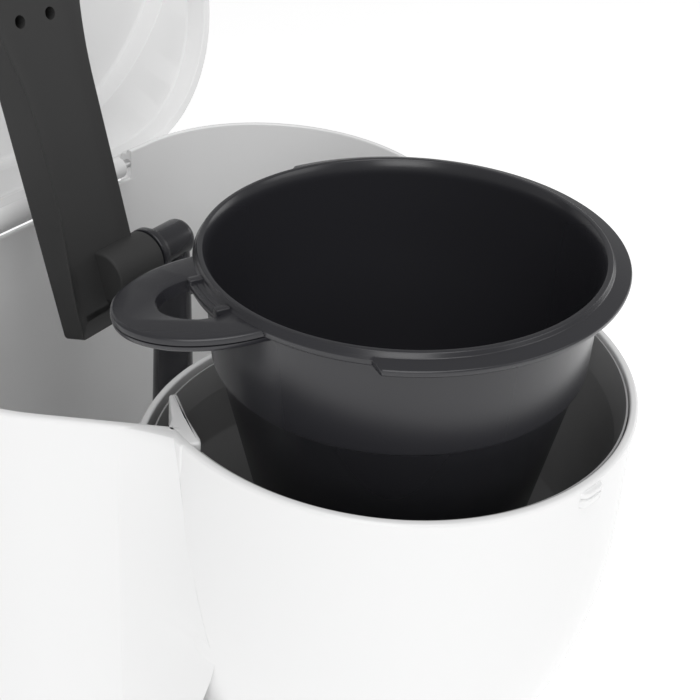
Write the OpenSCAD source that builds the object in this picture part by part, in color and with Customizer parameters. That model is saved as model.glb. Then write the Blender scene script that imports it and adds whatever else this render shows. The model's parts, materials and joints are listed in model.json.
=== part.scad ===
// Drip coffee maker with its lid and spray arm up and the filter basket lifted and turned in its bowl.
// X runs to the machine's right, Y to its back and Z up. The origin is on the standing plane, under
// the axis of the filter bowl. All lengths are in millimetres.

/* [Housing] */
// Inner radius of the filter bowl at its rim
bowl_r = 66; // [65.5:0.5:67]
// Height of the housing's rim above the standing plane
rim_z = 295; // [292:1:300]
// Wall thickness of the white mouldings
wall = 2.3; // [2.2:0.1:2.5]
// Sideways offset of the tank's middle from the brew axis
tank_mid_x = 17; // [16:0.5:18]
// Radius of the tank's two back corners
back_corner_r = 59.4; // [58.5:0.1:60]
// Drop from the rim to the low part of the wall between bowl and tank
partition_drop = 33; // [33:1:36]

/* [Brewing parts] */
// Outer radius of the filter basket's flange
flange_r = 58.4; // [57.5:0.1:58.5]
// Depth of the filter basket
basket_h = 77; // [76:0.5:78]
// Height of the lifted basket's rim above the housing's rim
basket_lift = 36.2; // [35:0.1:38]
// Reach of the basket's handle from the basket's axis
handle_reach = 80; // [78:1:83]
// Width of the spray arm
arm_w = 31; // [30:0.5:32]
// Distance from the arm's pivot to the middle of its outlet
arm_reach = 105; // [104:0.5:106]
// Angle that the arm turns through from upright to closed
arm_swing = 106.5; // [105:0.5:107]

/* [Lid] */
// Height of the closed lid above the rim
lid_h = 20; // [19:0.5:21]
// Angle that the lid turns through from open to closed
lid_swing = 108; // [106:0.5:109]

/* [Base and carafe] */
// Height of the base's top face
base_top = 28; // [28:0.5:29]
// Radius of the round front of the base
base_r = 72; // [71:0.5:73]
// Largest radius of the carafe's glass
carafe_r = 60; // [58:0.5:60.5]
// Radius of the warming plate
plate_r = 55; // [54:0.5:56]

/* [Hidden] */
$fn = 96;
white = "whitesmoke";
black = [0.13, 0.13, 0.135];

// Outline of the tank and column, as corners [x, y, radius] going anticlockwise from the left front.
back_y = 143.2;
left_corner_r = 3;
tuck = 0.02;
right_corner_r = 14;
back_cx = 46.3;
corner_y = back_y - back_corner_r;
left_back = [tank_mid_x - back_cx, corner_y, back_corner_r];
right_back = [tank_mid_x + back_cx, corner_y, back_corner_r];
left_front = [-59.9, 24.8, left_corner_r];
soft_left_front = [-53.4, 39.3, 16];
right_front = [84, 37.3, right_corner_r];

// Bowl profile, in shares of bowl_r: straight at the rim, fullest at belly_t, round below.
rim_share = 1 + wall / bowl_r;
belly_share = 1.067;
belly_t = 0.7;
floor_t = 1.75;
floor_share = 0.64;
bowl_floor_z = rim_z - floor_t * bowl_r;

// Carafe bay and tank
bay_r = 69.3;
bay_top = rim_z - 0.9 * bowl_r;
tank_floor_z = 172.5;
partition_from = 35;
partition_to = 145;

// Catch that thickens a short stretch of the bowl's rim
catch_heading = -101.6;
catch_half_angle = 3.6;
catch_out = 1.5;
catch_z = [-6.2, -1.6];

// Liner
liner_gap = 0.3;
liner_t = 1.8;
liner_r = bowl_r - liner_gap;
liner_floor = 103.5;
outlet_r = 18;

// Lid
skirt_t = 3.6;
edge_h = 11;
ceiling_z = 8.7;
step_inset = 12;
step_r = 121;
step_y = 10;

// Lid hinge
hinge_y = 142.4;
hinge_z = rim_z - 5;
notch_half = 35.4;
notch_depth = 10.4;
knuckle_r = 3.8;
pin_r = 1.5;
pin_clearance = 0.06;
ear_w = 7;
ear_r = 4.2;

// Spray arm pivot and riser column
column = [33, 105.6];
column_r = 8.6;
column_top = rim_z - 6.4;
pivot_y = 105.7;
pivot_z = rim_z - 15.2;
pivot_r = 8.5;
pivot_end = 19.7;
collar_gap = 0.5;
spigot_r = 5;
spigot_clearance = 0.06;
arm_t = 8;
arm_tail = 15.9;
shower_r = 24;
cover_t = 1.4;
spray_hole_r = 1.8;
spray_ring_r = 15.5;
spray_ring_y = 96;
lip = 0.5;

// Filter basket
mouth_r = 52;
basket_wall = 1.7;
band_h = 30;
lower_r = 49.6;
base_r_in = 40;
basket_tilt = 3.7;
tilt_heading = 113.1;
handle_heading = 152.5;
handle_half = 18.6;
handle_t = 3.6;
nozzle_r = 8;
stem_r = 2.6;
valve_drop = 97;

// Water path and electrics
hose_r = 6;
hose_bore = 4;
pipe_x = 33;
pipe_y = column[1];
pipe_z = 17;
hose_bend = 14;
plate_z = 31;
heater_r = 40;
shoulder_y = 23.3;
switch_x = 77;
switch_z = 62;
rocker_y = shoulder_y + 0.3;
rocker_pin_r = 1.2;
window_z = [188, 285];

// Carafe
glass_t = 2;
neck_r = 41;
glass_top = 150;
lid_top = 172;

// Ends of the outer tangent from circle a to circle b, with the outline's inside on the left.
// They lie a hair inside the circles, so that straight and round stretches cross cleanly.
function tangent_ends(a, b) =
    let (run = [b[0] - a[0], b[1] - a[1]],
         len = norm(run),
         u = run / len,
         s = (a[2] - b[2]) / len,
         c = sqrt(1 - s * s),
         n = [u[0] * s + u[1] * c, u[1] * s - u[0] * c])
    [[a[0], a[1]] + (a[2] - tuck) * n, [b[0], b[1]] + (b[2] - tuck) * n];

// Outline with rounded corners, each [x, y, radius], anticlockwise.
module rounded_outline(corners) {
    count = len(corners);
    polygon([for (i = [0:count - 1]) each tangent_ends(corners[i], corners[(i + 1) % count])]);
    for (c = corners)
        translate([c[0], c[1]]) circle(r = c[2]);
}

function shrink(corner, inset) = [corner[0], corner[1], corner[2] - inset];

module tank_plan(inset = 0)
    rounded_outline([for (c = [left_front, right_front, right_back, left_back]) shrink(c, inset)]);

// The same outline for deep insets, with a softer left front corner that the bowl's circle hides.
module inner_plan(inset)
    rounded_outline([for (c = [soft_left_front, right_front, right_back, left_back]) shrink(c, inset)]);

// Wedge of a disc between two angles, for cutting rings.
module wedge(from, to, r)
    polygon(concat([[0, 0]], [for (i = [0:6]) let (a = from + (to - from) * i / 6)
        1.2 * r * [cos(a), sin(a)]]));

function belly_r(t) = bowl_r * (rim_share + (belly_share - rim_share) * pow(sin(90 * t / belly_t), 2));
function upper_point(t, inset) = [belly_r(t) - inset, -bowl_r * t];
function lower_point(a, inset) =
    [bowl_r * (belly_share - (belly_share - floor_share) * (1 - cos(a))) - inset * cos(a),
     -bowl_r * (belly_t + (floor_t - belly_t) * sin(a)) + inset * sin(a)];

// Solid inside the bowl's skin, with its rim at z = 0 and carried up by extra.
module bowl_form(inset = 0, extra = 0)
    rotate_extrude()
        polygon(concat([[0, extra]], extra > 0 ? [[bowl_r * rim_share - inset, extra]] : [],
            [for (i = [0:5]) upper_point(belly_t * i / 6, inset)],
            [for (i = [0:7]) lower_point(90 * i / 7, inset)],
            [[0, -bowl_r * floor_t + inset]]));

module ring(outer, inner, h)
    difference() {
        cylinder(r = outer, h = h);
        translate([0, 0, -1]) cylinder(r = inner, h = h + 2);
    }

module x_cylinder(r, x0, x1)
    translate([x0, 0, 0]) rotate([0, 90, 0]) cylinder(r = r, h = x1 - x0);

module y_cylinder(r, y0, y1)
    translate([0, y0, 0]) rotate([-90, 0, 0]) cylinder(r = r, h = y1 - y0);

module hinge_ears()
    for (x = [tank_mid_x - notch_half - ear_w, tank_mid_x + notch_half])
        translate([0, hinge_y, hinge_z]) {
            x_cylinder(ear_r, x, x + ear_w);
            translate([x, -ear_r, -14]) cube([ear_w, 2 * ear_r, 14]);
        }

// Stub of wall at full height beside the left end of the low partition.
module fin_plan()
    polygon([[-60.4, 17.9], [-55.6, 25.2], [-49.4, 33.8], [-51.2, 35.2], [-58.5, 27.5],
        [-61.2, 25.6], [-66.2, 19], [-65.6, 16.6]]);

// Short thickening of the bowl's rim at the front, under the edge of the closed lid.
module rim_catch()
    translate([0, 0, rim_z + catch_z[0]]) linear_extrude(catch_z[1] - catch_z[0]) intersection() {
        difference() {
            circle(r = bowl_r * rim_share + catch_out);
            circle(r = bowl_r * rim_share - 1);
        }
        wedge(catch_heading - catch_half_angle, catch_heading + catch_half_angle, bowl_r * rim_share);
    }

module housing() {
    color(white) {
        difference() {
            union() {
                translate([0, 0, base_top]) linear_extrude(rim_z - base_top) tank_plan();
                translate([0, 0, rim_z]) bowl_form();
                hinge_ears();
            }
            translate([0, 0, rim_z]) bowl_form(wall, 1);
            carafe_bay();
            tank_space();
            service_space();
            translate([0, 0, rim_z - partition_drop]) linear_extrude(partition_drop + 1)
                intersection() {
                    wedge(partition_from, partition_to, 75);
                    tank_plan(wall);
                    circle(r = 75);
                }
            translate([tank_mid_x - notch_half, back_y - 12, rim_z - notch_depth])
                cube([2 * notch_half, 20, notch_depth + 1]);
            translate([0, hinge_y, hinge_z])
                x_cylinder(pin_r + pin_clearance, tank_mid_x - 60, tank_mid_x + 60);
            translate([0, 0, bowl_floor_z - 1]) cylinder(r = outlet_r, h = wall + 2);
            translate([column[0], column[1], tank_floor_z - wall - 1]) cylinder(r = 7, h = wall + 2);
            translate([-pipe_x, pipe_y, tank_floor_z - wall - 1]) cylinder(r = 5.2, h = wall + 2);
            translate([switch_x - 6.2, 15, switch_z - 9.7]) cube([12.4, 16, 19.4]);
            translate([switch_x - 4, 15, window_z[0] + 4]) cube([8, 16, window_z[1] - window_z[0] - 8]);
            translate([60, 0, 46]) y_cylinder(6.1, back_y - 15, back_y + 2);
        }
        translate([0, 0, rim_z - 46]) linear_extrude(46) fin_plan();
        rim_catch();
    }
}

module carafe_bay()
    difference() {
        translate([0, 0, base_top - 1]) cylinder(r = bay_r, h = bay_top - base_top + 1);
        translate([0, 0, rim_z]) bowl_form();
    }

module tank_space()
    difference() {
        translate([0, 0, tank_floor_z]) linear_extrude(rim_z - tank_floor_z + 1) tank_plan(wall);
        translate([0, 0, rim_z]) bowl_form(0, 2);
        translate([0, 0, tank_floor_z - 1]) cylinder(r = bay_r + wall, h = bay_top - tank_floor_z + 1);
    }

module service_space()
    difference() {
        translate([0, 0, base_top - 1]) linear_extrude(tank_floor_z - wall - base_top + 1) tank_plan(wall);
        translate([0, 0, base_top - 2]) cylinder(r = bay_r + wall, h = tank_floor_z);
    }

module bowl_liner()
    color(black) translate([0, 0, rim_z]) difference() {
        rotate_extrude() polygon([[liner_r, -1], [liner_r, -62], [54, -liner_floor - liner_t],
            [outlet_r, -liner_floor - liner_t], [outlet_r, -liner_floor], [53, -liner_floor], [liner_r - liner_t, -61.6], [liner_r - liner_t, -1]]);
        translate([0, 0, -partition_drop - 0.6]) linear_extrude(partition_drop)
            wedge(partition_from - 1, partition_to + 1, 75);
        translate([0, 0, -47]) linear_extrude(50) wedge(partition_to - 6, 167, 75);
    }

// Outline of the closed lid: the tank and the bowl's rim together.
module lid_plan(inset = 0) {
    tank_plan(inset);
    circle(r = bowl_r * rim_share - inset);
}

module lid_inside(inset) {
    inner_plan(inset);
    circle(r = bowl_r * rim_share - inset);
}

// Outline of the lid's deeper middle, whose back edge is a wide arc.
module step_plan(inset = 0)
    intersection() {
        lid_inside(step_inset + inset);
        translate([tank_mid_x, step_y]) circle(r = step_r - inset);
    }

// Turns a shape from its closed place to its open one, about an axis along X.
module opened(y, z, angle)
    translate([0, y, z]) rotate([-angle, 0, 0]) translate([0, -y, -z]) children();

module lid()
    color(white) opened(hinge_y, hinge_z, lid_swing) difference() {
        union() {
            translate([0, 0, rim_z + 0.4]) linear_extrude(edge_h - 3) lid_plan();
            translate([0, 0, rim_z + edge_h - 4]) linear_extrude(4) lid_plan(2.4);
            translate([0, 0, rim_z + edge_h - 1]) linear_extrude(lid_h - edge_h - 1) step_plan(-wall);
            translate([0, 0, rim_z + lid_h - 3]) linear_extrude(3) step_plan(-wall + 2);
            translate([0, hinge_y, hinge_z])
                x_cylinder(knuckle_r, tank_mid_x - notch_half + 1, tank_mid_x + notch_half - 1);
            translate([tank_mid_x - notch_half + 1, hinge_y - 2.6, hinge_z])
                cube([2 * notch_half - 2, 3.4, rim_z - hinge_z + 2]);
        }
        difference() {
            union() {
                translate([0, 0, rim_z]) linear_extrude(ceiling_z) lid_inside(skirt_t);
                translate([0, 0, rim_z]) linear_extrude(lid_h - wall) step_plan();
            }
            translate([tank_mid_x - notch_half + 1, hinge_y - 2.6, hinge_z])
                cube([2 * notch_half - 2, 12, edge_h + 5]);
        }
        translate([0, hinge_y, hinge_z]) x_cylinder(pin_r, tank_mid_x - 60, tank_mid_x + 60);
    }

module lid_hinge_pin()
    color("silver") translate([0, hinge_y, hinge_z])
        x_cylinder(pin_r, tank_mid_x - notch_half - ear_w + 1, tank_mid_x + notch_half + ear_w - 1);

module riser_column()
    color(black) difference() {
        union() {
            translate([column[0], column[1], tank_floor_z]) {
                cylinder(r = column_r, h = column_top - column_r - tank_floor_z);
                cylinder(r = column_r + 5, h = 3);
            }
            translate([column[0], column[1], column_top - column_r]) sphere(r = column_r);
            translate([0, pivot_y, pivot_z]) {
                x_cylinder(pivot_r - 0.9, pivot_end + collar_gap, column[0]);
                x_cylinder(pivot_r + 0.8, pivot_end + collar_gap, pivot_end + collar_gap + 2.4);
            }
        }
        translate([column[0], column[1], tank_floor_z - 1])
            cylinder(r = 5.6, h = pivot_z + spigot_r - tank_floor_z);
        translate([0, pivot_y, pivot_z]) x_cylinder(spigot_r, 0, column[0] - 2);
    }

module hot_tube()
    color("lightgrey") translate([column[0], column[1], 110])
        ring(hose_bore, 2.8, pivot_z - 7 - 110);

module pivot_spigot()
    color(black) translate([0, pivot_y, pivot_z]) difference() {
        x_cylinder(spigot_r, 4, column[0] - 6);
        x_cylinder(spigot_r - 1.6, 3, column[0] - 5);
    }

module pivot_seal()
    color("dimgrey") translate([pivot_end + 0.1, pivot_y, pivot_z]) rotate([0, 90, 0])
        ring(spigot_r + 2, spigot_r, collar_gap - 0.2);

// Plan of the spray arm with its pivot at the origin and its length along +Y.
module arm_plan(inset = 0) {
    half = arm_w / 2 - inset;
    translate([-half, -arm_tail + inset]) square([2 * half, arm_reach + arm_tail - inset]);
    polygon([[half, 78], [shower_r - inset - 0.6, arm_reach - 5], [-shower_r + inset + 0.6, arm_reach - 5],
        [-half, 78]]);
    translate([0, arm_reach]) circle(r = shower_r - inset);
}

// Places arm geometry, drawn flat with its length along +Y and its underside at z = 0.
module on_arm()
    opened(pivot_y, pivot_z, arm_swing) translate([0, pivot_y, pivot_z]) mirror([0, 1, 0]) children();

module spray_arm()
    color(black) on_arm() difference() {
        union() {
            translate([0, 0, -lip]) linear_extrude(arm_t + lip) arm_plan();
            x_cylinder(pivot_r, -0.6, pivot_end);
        }
        translate([0, 0, -lip - 1]) linear_extrude(lip + cover_t + 1) difference() {
            arm_plan(2.2);
            translate([-0.9, -pivot_r - 0.3]) square([pivot_end, 2 * pivot_r + 0.6]);
        }
        translate([0, 0, -lip - 1]) linear_extrude(arm_t + lip - 1) difference() {
            arm_plan(5);
            translate([-20, -20]) square([40, 32]);
        }
        x_cylinder(spigot_r + spigot_clearance, 3, pivot_end + 1);
        translate([9.5, 0, 2.5]) y_cylinder(2.4, 0, 14);
    }

module arm_cover()
    color(black) on_arm() difference() {
        linear_extrude(cover_t) difference() {
            arm_plan(2.3);
            translate([-1, -pivot_r - 0.4]) square([pivot_end, 2 * pivot_r + 0.8]);
        }
        translate([0, spray_ring_y, -1]) {
            cylinder(r = spray_hole_r, h = cover_t + 2);
            for (a = [22.5:45:337.5])
                rotate(a) translate([spray_ring_r, 0]) cylinder(r = spray_hole_r, h = cover_t + 2);
        }
    }

// Places basket geometry, drawn about Z with its rim plane at z = 0, at the lifted basket.
module on_basket()
    translate([0, 0, rim_z + basket_lift]) rotate([0, 0, tilt_heading]) rotate([0, basket_tilt, 0])
        rotate([0, 0, -tilt_heading]) children();

module basket_handle_plan() {
    tip_r = 17.5;
    rotate(handle_heading) difference() {
        union() {
            translate([handle_reach - tip_r, 0]) circle(r = tip_r);
            polygon([[44, -handle_half - 1], [56, -handle_half], [handle_reach - tip_r, -tip_r],
                [handle_reach - tip_r, tip_r], [56, handle_half], [44, handle_half + 1]]);
        }
        circle(r = mouth_r);
        intersection() {
            translate([handle_reach - tip_r - 1, 0]) circle(r = tip_r - 8);
            difference() {
                translate([50, -14]) square([40, 28]);
                circle(r = 56);
            }
        }
    }
}

module filter_basket()
    color(black) on_basket() {
        difference() {
            union() {
                rotate_extrude() polygon([[mouth_r - basket_wall, 0.6], [mouth_r + 1.5, 0.6],
                    [mouth_r + 2.4, -0.6], [flange_r - 2.2, -1.2], [flange_r - 2.2, -3],
                    [mouth_r + 0.4, -3], [mouth_r - 0.6, -band_h], [lower_r, -band_h - 1],
                    [base_r_in, -basket_h], [0, -basket_h], [0, -basket_h + 2],
                    [base_r_in - basket_wall, -basket_h + 2], [lower_r - basket_wall, -band_h - 1],
                    [mouth_r - basket_wall - 1, -band_h + 1]]);
                translate([0, 0, -3]) linear_extrude(1.9) difference() {
                    intersection() {
                        circle(r = flange_r);
                        wedge(-156.5, 64, flange_r);
                    }
                    circle(r = mouth_r - 1);
                }
            }
            translate([0, 0, -basket_h - 1]) cylinder(r = nozzle_r + 0.06, h = 4);
        }
        translate([0, 0, -1.2 - handle_t]) linear_extrude(handle_t) basket_handle_plan();
        rotate(handle_heading) translate([57.2, 0, -2.6]) rotate([90, 0, 0])
            translate([0, 0, -8]) cylinder(r = 1, h = 16);
        for (side = [-1, 1])
            rotate(handle_heading) translate([53, side * 8.4 - 1.2, -4]) cube([5, 2.4, 3.6]);
    }

module drip_nozzle()
    color("dimgrey") on_basket() translate([0, 0, -basket_h]) difference() {
        union() {
            translate([0, 0, -7]) cylinder(r = nozzle_r, h = 9.1);
            translate([0, 0, 2.1]) cylinder(r = nozzle_r + 3, h = 1.6);
        }
        translate([0, 0, -8]) cylinder(r = stem_r + 1.4, h = 13);
    }

module drip_valve()
    color("firebrick") on_basket() translate([0, 0, -basket_h]) {
        translate([0, 0, 3.75]) cylinder(r = stem_r + 4, h = 2);
        translate([0, 0, basket_h - valve_drop]) cylinder(r = stem_r, h = valve_drop - basket_h + 4.5);
        translate([0, 0, basket_h - valve_drop]) cylinder(r = stem_r + 3, h = 1.6);
    }

module valve_spring() {
    coil_top = -basket_h - 7.1;
    coil_bottom = -valve_drop + 1.7;
    color("silver") on_basket() translate([0, 0, coil_bottom])
        linear_extrude(coil_top - coil_bottom, twist = -360 * 5, slices = 50, $fn = 8)
            translate([stem_r + 1.6, 0]) circle(r = 0.5, $fn = 6);
}

// Flat strip on the right shoulder's front, which faces -Y.
module shoulder_plate(half_w, z0, z1, y0, t)
    translate([switch_x - half_w, y0, z0]) cube([2 * half_w, t, z1 - z0]);

module water_window()
    color([0.8, 0.9, 0.95, 0.5]) {
        shoulder_plate(5.5, window_z[0], window_z[1], shoulder_y - 1.8, 1.4);
        shoulder_plate(3.8, window_z[0] + 4.2, window_z[1] - 4.2, shoulder_y - 0.4, 3.2);
    }

module window_gasket()
    color("grey") difference() {
        shoulder_plate(7, window_z[0] + 2, window_z[1] - 2, shoulder_y + wall + 0.1, 1.2);
        shoulder_plate(4, window_z[0] + 4.2, window_z[1] - 4.2, shoulder_y, 9);
    }

module tank_strainer()
    color("lightgrey") translate([-pipe_x, pipe_y, tank_floor_z]) difference() {
        cylinder(r = 11, h = 9);
        translate([0, 0, -1]) cylinder(r = 9.4, h = 8.4);
        for (a = [0:30:330])
            rotate(a) translate([6, -1, 1.5]) cube([9, 2, 5]);
    }

module tank_nipple()
    color("lightgrey") translate([-pipe_x, pipe_y, tank_floor_z - wall]) difference() {
        union() {
            translate([0, 0, -14]) cylinder(r = hose_bore, h = 17.5);
            translate([0, 0, -2]) cylinder(r = 8, h = 2);
        }
        translate([0, 0, -15]) cylinder(r = 2.8, h = 30);
    }

module tube_grommet()
    color("dimgrey") translate([column[0], column[1], tank_floor_z - wall - 2]) difference() {
        union() {
            cylinder(r = 9.5, h = 2);
            cylinder(r = 7, h = wall + 2);
        }
        translate([0, 0, -1]) cylinder(r = hose_bore, h = 9);
    }

module check_valve()
    color("lightblue") translate([-pipe_x, pipe_y, 100]) {
        ring(hose_bore, 2.8, 12);
        translate([0, 0, 12]) ring(8, 2.8, 16);
        translate([0, 0, 28]) ring(hose_bore, 2.8, 12);
    }

// Hose that drops from z_top at [x, pipe_y], bends and runs forward to y_end at pipe_z.
module dropped_hose(x, z_top, y_end) {
    translate([x, pipe_y, pipe_z + hose_bend]) ring(hose_r, hose_bore, z_top - pipe_z - hose_bend);
    translate([x, pipe_y - hose_bend, pipe_z + hose_bend]) rotate([0, 0, 90]) rotate([90, 0, 0])
        rotate([0, 0, -90]) rotate_extrude(angle = 90) translate([hose_bend, 0]) difference() {
            circle(r = hose_r);
            circle(r = hose_bore);
        }
    translate([x, 0, pipe_z]) difference() {
        y_cylinder(hose_r, y_end, pipe_y - hose_bend);
        y_cylinder(hose_bore, y_end - 1, pipe_y - hose_bend + 1);
    }
}

module cold_hose()
    color("gainsboro") {
        dropped_hose(-pipe_x, 111.9, 62);
        translate([-pipe_x, pipe_y, 128.1]) ring(hose_r, hose_bore, tank_floor_z - wall - 2.2 - 128.1);
    }

module hot_hose()
    color("gainsboro") dropped_hose(pipe_x, 122, 62);

module hose_clamps()
    color("silver") {
        for (z = [103, 133, 160])
            translate([-pipe_x, pipe_y, z]) ring(hose_r + 1, hose_r, 4);
        translate([pipe_x, pipe_y, 114]) ring(hose_r + 1, hose_r, 4);
        for (side = [-1, 1])
            translate([side * pipe_x, 66, pipe_z]) rotate([-90, 0, 0]) ring(hose_r + 1, hose_r, 4);
    }

module base_plan(inset = 0) {
    inner_plan(inset);
    circle(r = base_r - inset);
}

screw_spots = [[-78.5, 62], [112.5, 62], [17, 136.5], [-32, -56], [32, -56]];

module base_shell()
    color(white) difference() {
        union() {
            difference() {
                translate([0, 0, 4]) linear_extrude(base_top - 4) base_plan();
                translate([0, 0, 3]) linear_extrude(base_top - 3 - wall) base_plan(wall);
            }
            for (p = screw_spots)
                translate([p[0], p[1], 7]) cylinder(r = 4, h = base_top - 7 - 1);
        }
        translate([0, 0, base_top - wall - 1]) cylinder(r = plate_r + 2.5, h = wall + 2);
        translate([0, 0, base_top - wall - 1]) linear_extrude(wall + 2) difference() {
            inner_plan(wall + 8);
            circle(r = bay_r + wall + 6);
        }
        for (p = screw_spots)
            translate([p[0], p[1], 3]) cylinder(r = 1.5, h = 14);
    }

module base_cover()
    color("dimgrey") difference() {
        translate([0, 0, 4]) linear_extrude(2.6) base_plan(wall + 0.4);
        for (p = screw_spots)
            translate([p[0], p[1], 3]) cylinder(r = 2, h = 5);
        for (x = [-18:9:54])
            translate([x, 84, 3]) cube([4, 26, 5]);
    }

module rubber_feet()
    color([0.2, 0.2, 0.2]) difference() {
        union() {
            linear_extrude(4) difference() {
                intersection() {
                    circle(r = 64);
                    wedge(-205, 25, 64);
                }
                circle(r = 57);
            }
            for (x = [tank_mid_x - 62, tank_mid_x + 62])
                translate([x, 104, 0]) cylinder(r = 8, h = 4);
        }
        for (p = screw_spots)
            translate([p[0], p[1], -1]) cylinder(r = 3.4, h = 6);
    }

module base_screws()
    color("silver") for (p = screw_spots)
        translate([p[0], p[1], 0]) {
            translate([0, 0, 2]) cylinder(r = 3, h = 2);
            translate([0, 0, 4]) cylinder(r = 1.5, h = 11);
        }

module warming_plate()
    color([0.16, 0.16, 0.17]) {
        translate([0, 0, plate_z - 1.2]) cylinder(r = plate_r, h = 1.2);
        translate([0, 0, plate_z - 4.2]) ring(plate_r - 2, plate_r - 3.2, 3);
    }

module plate_seal()
    color("dimgrey") {
        translate([0, 0, base_top]) ring(plate_r + 5, plate_r + 0.2, 1.6);
        translate([0, 0, base_top - wall - 1]) ring(plate_r + 2.5, plate_r + 0.2, wall + 1);
    }

// Aluminium extrusion bent to a horseshoe, with a water tube that ends in two nipples.
module heater() {
    end_angle = acos(pipe_x / heater_r);
    sweep = 180 + 2 * end_angle;
    color([0.7, 0.71, 0.72]) {
        rotate([0, 0, 180 - end_angle]) rotate_extrude(angle = sweep)
            translate([heater_r - 8, 12]) square([16, 17.7 - 2]);
        for (side = [-1, 1])
            translate([side * pipe_x, heater_r * sin(end_angle) - 1, pipe_z])
                difference() {
                    y_cylinder(hose_bore, 0, 57);
                    y_cylinder(2.8, 8, 58);
                }
    }
}

module heater_clamp()
    color("silver") translate([-50, -6, 8.6]) cube([100, 12, 3.2]);

module clamp_screws()
    color("silver") for (x = [-20, 20])
        translate([x, 0, 11.9]) cylinder(r = 2, h = plate_z - 1.3 - 11.9);

module thermostat()
    color("dimgrey") translate([0, -14, 21.5]) {
        cylinder(r = 8, h = plate_z - 1.3 - 21.5);
        translate([-6, -1.5, -5]) cube([1, 3, 5]);
        translate([5, -1.5, -5]) cube([1, 3, 5]);
    }

module thermal_fuses()
    color("gold") for (a = [205, 335])
        rotate(a) translate([heater_r - 13, -9, 18]) rotate([-90, 0, 0]) cylinder(r = 2.4, h = 18);

module terminal_block()
    color("ivory") translate([46, 96, 33]) difference() {
        cube([26, 16, 14]);
        for (x = [5, 13, 21])
            translate([x, 8, 6]) cylinder(r = 2, h = 9);
    }

module switch_body()
    color([0.1, 0.1, 0.1]) difference() {
        union() {
            shoulder_plate(7.6, switch_z - 11, switch_z + 11, shoulder_y - 2, 1.6);
            shoulder_plate(6, switch_z - 9.5, switch_z + 9.5, shoulder_y - 0.6, 18);
        }
        shoulder_plate(4.9, switch_z - 8.2, switch_z + 8.2, shoulder_y - 4, 9);
        translate([switch_x, rocker_y, switch_z]) x_cylinder(rocker_pin_r + 0.05, -5.9, 5.9);
    }

module switch_rocker()
    color("firebrick") {
        translate([switch_x, rocker_y, switch_z]) x_cylinder(rocker_pin_r, -5.8, 5.8);
        translate([switch_x - 4.7, shoulder_y - 0.5, switch_z]) rotate([0, 90, 0])
            linear_extrude(9.4) polygon([[-7.4, -4.4], [0, -2.4], [7.4, -0.8], [7.2, 1.8], [2.4, 3.6],
                [-2.4, 3.6], [-7.6, 0.6]]);
    }

module lead_wires()
    color("white") {
        translate([switch_x - 3, 0, switch_z]) y_cylinder(1.3, shoulder_y + 17.5, 88);
        translate([switch_x + 3, 0, switch_z - 4]) y_cylinder(1.3, shoulder_y + 17.5, 88);
    }

module cord_gland()
    color(black) translate([60, 0, 46]) difference() {
        union() {
            y_cylinder(6, back_y - 8, back_y + 2);
            y_cylinder(8.5, back_y + 0.1, back_y + 3);
        }
        y_cylinder(3.2, back_y - 9, back_y + 4);
    }

// Glass profile from the base's middle up the outside and back down the inside.
module glass_profile(inset) {
    r = carafe_r - inset;
    polygon([[0, inset], [48 - inset, inset], [r - 4, 8 + inset / 2], [r - 1, 24], [r, 42], [r - 1, 58],
        [r - 5, 74], [r - 11, 88], [neck_r + 2 - inset, 100], [neck_r - inset, 106],
        [neck_r - inset, glass_top - plate_z - 0.3 + inset], [0, glass_top - plate_z - 0.3 + inset]]);
}

module carafe_glass()
    color([0.85, 0.92, 0.95, 0.35]) translate([0, 0, plate_z + 0.3]) rotate_extrude() difference() {
        glass_profile(0);
        glass_profile(glass_t);
    }

module carafe_band()
    color(black) translate([0, 0, 138]) difference() {
        union() {
            cylinder(r = neck_r + 1.6, h = 9);
            translate([-7, -neck_r - 6, 0]) cube([14, 8, 9]);
        }
        translate([0, 0, -1]) cylinder(r = neck_r, h = 12);
        translate([0, 0, 4.5]) y_cylinder(1.5, -neck_r - 7, -neck_r - 3);
    }

module band_screw()
    color("silver") translate([0, 0, 142.5]) {
        y_cylinder(1.5, -neck_r - 14, -neck_r - 3);
    }

module carafe_handle()
    color(black) difference() {
        translate([-8.5, 0, 0]) rotate([90, 0, 90]) linear_extrude(17) difference() {
            polygon([[-neck_r - 6, 134], [-neck_r - 6, 151], [-88, 151], [-100, 144], [-105, 130],
                [-105, 80], [-100, 62], [-88, 52], [-76, 50], [-67, 54], [-67, 62], [-74, 62], [-84, 64],
                [-91, 72], [-93, 84], [-93, 122], [-89, 131], [-80, 134]]);
        }
        translate([0, 0, 142.5]) y_cylinder(1.5, -neck_r - 15, -neck_r - 3);
        translate([0, 0, 142.5]) y_cylinder(3.2, -110, -neck_r - 14);
    }

module carafe_lid()
    color(black) {
        difference() {
            union() {
                translate([0, 0, 147.4 + 2.9]) cylinder(r = neck_r + 1.6, h = 4);
                translate([0, 0, 154.2]) cylinder(r = neck_r - 4, h = 6);
                translate([0, 0, 160.1]) cylinder(r = 20, h = lid_top - 162);
                translate([-8, -66, 153]) cube([16, 30, 4]);
                translate([0, 0, 140]) ring(neck_r - glass_t - 0.5, neck_r - glass_t - 2.5, 11);
            }
            translate([0, 0, 139]) cylinder(r = 6, h = 40);
        }
    }

housing();
bowl_liner();
lid();
lid_hinge_pin();
riser_column();
hot_tube();
pivot_spigot();
pivot_seal();
spray_arm();
arm_cover();
filter_basket();
drip_nozzle();
drip_valve();
valve_spring();
water_window();
window_gasket();
tank_strainer();
tank_nipple();
tube_grommet();
check_valve();
cold_hose();
hot_hose();
hose_clamps();
base_shell();
base_cover();
rubber_feet();
base_screws();
warming_plate();
plate_seal();
heater();
heater_clamp();
clamp_screws();
thermostat();
thermal_fuses();
terminal_block();
switch_body();
switch_rocker();
lead_wires();
cord_gland();
carafe_glass();
carafe_band();
band_screw();
carafe_handle();
carafe_lid();
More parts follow.
